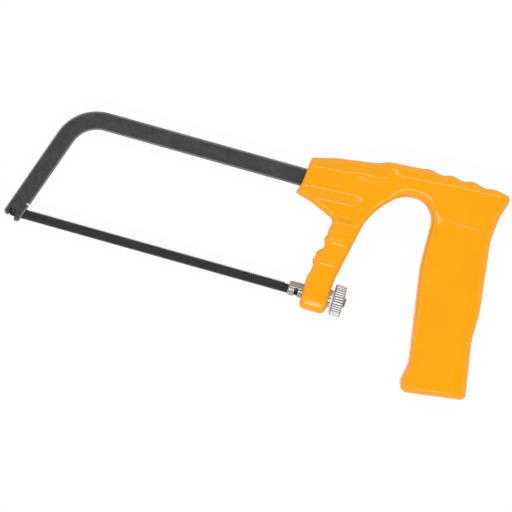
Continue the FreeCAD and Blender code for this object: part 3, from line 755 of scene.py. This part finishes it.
def make_knob_plate():
    """Bright satin plate whose knurl valleys are painted dark as painted shade."""
    n = Nodes("knob_chrome")
    middle = (KNOB_BOX[0] + KNOB_BOX[1]) / 2
    across = n.calculate("SUBTRACT", n.axis("Y"), float(middle.y))
    upward = n.calculate("SUBTRACT", n.axis("Z"), float(middle.z))
    across_square = n.calculate("MULTIPLY", across, across)
    upward_square = n.calculate("MULTIPLY", upward, upward)
    square = n.calculate("ADD", across_square, upward_square)
    radius = n.calculate("SQRT", square, 0.0)
    rim = (KNOB_BOX[1].y - KNOB_BOX[0].y) / 2
    below_crest = n.steps(radius, rim - 0.10 * MM, rim - 0.30 * MM)
    above_face = n.steps(radius, rim - 0.75 * MM, rim - 0.55 * MM)
    knurl_painted_shade = n.calculate("MULTIPLY", below_crest, above_face)
    cloud = n.noise(600.0, 3.0)
    plate = n.mix(n.steps(cloud, 0.3, 0.7), (0.84, 0.84, 0.85, 1), (0.95, 0.95, 0.96, 1))
    # Painted shade: between the knurl crests and the face radius the colour is darkened to brown-grey.
    n.link(n.mix(knurl_painted_shade, plate, (0.16, 0.14, 0.125, 1)), n.shader.inputs["Base Color"])
    n.shader.inputs["Metallic"].default_value = 0.25
    n.link(n.steps(cloud, 0.3, 0.7, 0.28, 0.38), n.shader.inputs["Roughness"])
    return n.material


orange_plastic = make_orange_plastic()
black_bow_paint = make_black_bow()
dark_blade_steel = make_dark_blade()
knob_chrome = make_knob_plate()
stud_nickel = make_plated("stud_nickel", (0.42, 0.41, 0.40, 1), (0.24, 0.34), 0.7)
washer_steel = make_plated("washer_steel", (0.55, 0.54, 0.53, 1), (0.25, 0.4), 0.7)
pin_steel = make_plated("pin_steel", (0.07, 0.07, 0.07, 1), (0.35, 0.5))
screw_steel = make_plated("screw_steel", (0.16, 0.16, 0.17, 1), (0.3, 0.45))

NODE_MATERIALS = {
    "frame_bow": black_bow_paint,
    "saw_blade": dark_blade_steel,
    "blade_pin_front": pin_steel,
    "blade_pin_rear": pin_steel,
    "bow_dowel_front": pin_steel,
    "bow_dowel_rear": pin_steel,
    "stud_key_pin": pin_steel,
    "tension_stud": stud_nickel,
    "tension_knob": knob_chrome,
    "thrust_washer": washer_steel,
    "handle_shell_left": orange_plastic,
    "handle_shell_right": orange_plastic,
}
for screw in SCREWS:
    NODE_MATERIALS[screw] = screw_steel
for node, material in NODE_MATERIALS.items():
    for slot in NODES[node].material_slots:
        slot.material = material


# ---------------------------------------------------------------- stage, light and camera

# Sizes and distances of the stage are in metres.
FLOOR_SIZE = 12.0
FLOOR_GAP = 0.0002
FLOOR_WHITE_SHARE = 0.96
# Level of the room's light, and of the ceiling that mirror-like reflections see.
ROOM_LIGHT = 0.61
CEILING_REFLECTION = 0.05
# Name, place, size and power of each lamp, which points at the origin.
LIGHTS = [
    ("near_strip", (0.0, -0.78, 1.80), (1.8, 0.16), 14.0),
    ("far_strip", (0.0, 0.70, 1.85), (1.8, 0.12), 9.0),
]
# The camera looks straight down, and is turned so that the blade slopes down to the right.
ROLL = math.radians(15.68)
VIEW_FIELD = 0.256
VIEW_CENTRE = place(122.6, 11.0)
VIEW_DISTANCE = 2.6
SENSOR_WIDTH = 36.0


def add_floor():
    """Pale floor that the camera sees as nearly white and that keeps the saw's shadow."""
    bpy.ops.mesh.primitive_plane_add(
        size=FLOOR_SIZE, location=(0, 0, CAD_BOUNDS[0][2] - FLOOR_GAP)
    )
    floor = bpy.context.object
    floor.name = "floor"
    n = Nodes("pale_floor")
    n.shader.inputs["Base Color"].default_value = (0.95, 0.95, 0.95, 1)
    n.shader.inputs["Roughness"].default_value = 0.9
    n.shader.inputs["Specular IOR Level"].default_value = 0.0
    glow = n.add("ShaderNodeEmission")
    glow.inputs["Strength"].default_value = 1.0
    share = n.add("ShaderNodeMixShader")
    paths = n.add("ShaderNodeLightPath")
    seen = n.add("ShaderNodeMath", operation="MULTIPLY")
    n.link(paths.outputs["Is Camera Ray"], seen.inputs[0])
    seen.inputs[1].default_value = FLOOR_WHITE_SHARE
    n.link(seen.outputs[0], share.inputs[0])
    n.link(n.shader.outputs[0], share.inputs[1])
    n.link(glow.outputs[0], share.inputs[2])
    n.link(share.outputs[0], n.tree.nodes["Material Output"].inputs["Surface"])
    floor.data.materials.append(n.material)


def add_world():
    """Even white room; mirror-like reflections see a dark ceiling and pale walls."""
    world = bpy.data.worlds.new("studio")
    bpy.context.scene.world = world
    world.use_nodes = True
    tree = world.node_tree
    background = tree.nodes["Background"]
    background.inputs["Color"].default_value = (1, 1, 1, 1)
    paths = tree.nodes.new("ShaderNodeLightPath")
    seen = tree.nodes.new("ShaderNodeMath")
    seen.operation = "MAXIMUM"
    tree.links.new(paths.outputs["Is Camera Ray"], seen.inputs[0])
    tree.links.new(paths.outputs["Is Transmission Ray"], seen.inputs[1])
    way = tree.nodes.new("ShaderNodeTexCoord")
    split = tree.nodes.new("ShaderNodeSeparateXYZ")
    tree.links.new(way.outputs["Generated"], split.inputs["Vector"])
    wall = tree.nodes.new("ShaderNodeMapRange")
    wall.interpolation_type = "SMOOTHSTEP"
    wall.inputs["From Min"].default_value = 0.35
    wall.inputs["From Max"].default_value = 0.85
    wall.inputs["To Min"].default_value = 1.0
    wall.inputs["To Max"].default_value = CEILING_REFLECTION
    tree.links.new(split.outputs["Z"], wall.inputs["Value"])
    mirror = tree.nodes.new("ShaderNodeMix")
    mirror.inputs["A"].default_value = ROOM_LIGHT
    tree.links.new(paths.outputs["Is Glossy Ray"], mirror.inputs["Factor"])
    tree.links.new(wall.outputs["Result"], mirror.inputs["B"])
    final = tree.nodes.new("ShaderNodeMix")
    final.inputs["B"].default_value = 1.0
    tree.links.new(seen.outputs[0], final.inputs["Factor"])
    tree.links.new(mirror.outputs["Result"], final.inputs["A"])
    tree.links.new(final.outputs["Result"], background.inputs["Strength"])


def add_light(name, where, size, power):
    """Rectangular lamp that points at the origin."""
    data = bpy.data.lights.new(name, "AREA")
    data.shape = "RECTANGLE"
    data.size, data.size_y = size
    data.energy = power
    lamp = bpy.data.objects.new(name, data)
    lamp.location = where
    lamp.rotation_mode = "QUATERNION"
    lamp.rotation_quaternion = (-Vector(where)).to_track_quat("-Z", "Y")
    bpy.context.scene.collection.objects.link(lamp)


def add_camera():
    data = bpy.data.cameras.new("camera")
    data.sensor_width = SENSOR_WIDTH
    data.lens = data.sensor_width * VIEW_DISTANCE / VIEW_FIELD
    data.clip_start, data.clip_end = 0.1, 20.0
    camera = bpy.data.objects.new("camera", data)
    camera.location = VIEW_CENTRE + Vector((0, 0, VIEW_DISTANCE))
    camera.rotation_euler = (0, 0, ROLL)
    bpy.context.scene.collection.objects.link(camera)
    bpy.context.scene.camera = camera


add_shell("handle_left", 1, "handle_shell_left")
add_shell("handle_right", -1, "handle_shell_right")
add_floor()
add_world()
for light in LIGHTS:
    add_light(*light)
add_camera()
bpy.context.scene.view_settings.view_transform = "Standard"
